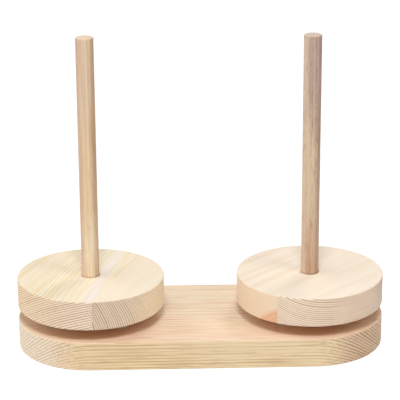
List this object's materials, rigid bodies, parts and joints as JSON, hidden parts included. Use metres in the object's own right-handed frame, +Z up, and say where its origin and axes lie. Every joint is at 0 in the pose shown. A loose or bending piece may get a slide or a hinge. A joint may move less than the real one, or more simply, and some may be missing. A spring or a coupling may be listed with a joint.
{
  "type": "double yarn holder",
  "caption": "Wooden yarn holder: a board with round ends carries freely turning discs on hidden flat ball bearings, each with an upright spindle for a ball or cone of yarn.",
  "frame": {"origin": "middle of the board's underside, on the surface that the holder stands on", "axes": "+X along the board, from the left disc to the right disc; +Y to the back; +Z up along the spindles"},
  "size_m": [0.25, 0.1, 0.216],
  "materials": {
    "base_pine": "sanded softwood, bare",
    "left_disc_pine": "sanded softwood, bare",
    "left_stave_pine": "sanded softwood, bare",
    "right_disc_pine": "sanded softwood, bare",
    "right_stave_pine": "sanded softwood, bare",
    "left_spindle_wood": "sanded hardwood dowel, bare",
    "right_spindle_wood": "sanded hardwood dowel, bare",
    "zinc_plate": "zinc plated stamping",
    "ball_steel": "polished",
    "cage_steel": "yellow zinc plated strip",
    "eyelet_steel": "bright rolled steel",
    "screw_steel": "yellow zinc plated"
  },
  "bodies": {
    "base": {"base_board": "base_pine", "left_bearing_lower_plate": "zinc_plate", "left_bearing_eyelet": "eyelet_steel", "left_base_screws": "screw_steel", "right_bearing_lower_plate": "zinc_plate", "right_bearing_eyelet": "eyelet_steel", "right_base_screws": "screw_steel"},
    "left_turntable": {"left_disc_wide_stave": "left_disc_pine", "left_disc_narrow_stave": "left_stave_pine", "left_spindle": "left_spindle_wood", "left_bearing_upper_plate": "zinc_plate", "left_disc_screws": "screw_steel"},
    "right_turntable": {"right_disc_wide_stave": "right_disc_pine", "right_disc_narrow_stave": "right_stave_pine", "right_spindle": "right_spindle_wood", "right_bearing_upper_plate": "zinc_plate", "right_disc_screws": "screw_steel"},
    "left_ball_ring": {"left_bearing_balls": "ball_steel", "left_bearing_cage": "cage_steel"},
    "right_ball_ring": {"right_bearing_balls": "ball_steel", "right_bearing_cage": "cage_steel"}
  },
  "joints": [
    {"name": "left_spin", "type": "hinge", "parent": "base", "child": "left_turntable", "pos_m": [-0.075, 0, 0.0245], "axis": [0, 0, 1], "continuous": true},
    {"name": "right_spin", "type": "hinge", "parent": "base", "child": "right_turntable", "pos_m": [0.075, 0, 0.0245], "axis": [0, 0, 1], "continuous": true},
    {"name": "left_ball_roll", "type": "hinge", "parent": "base", "child": "left_ball_ring", "pos_m": [-0.075, 0, 0.0245], "axis": [0, 0, 1], "continuous": true},
    {"name": "right_ball_roll", "type": "hinge", "parent": "base", "child": "right_ball_ring", "pos_m": [0.075, 0, 0.0245], "axis": [0, 0, 1], "continuous": true}
  ],
  "couplings": [
    {"joint": "left_ball_roll", "follows": "left_spin", "ratio": 0.5},
    {"joint": "right_ball_roll", "follows": "right_spin", "ratio": 0.5}
  ]
}
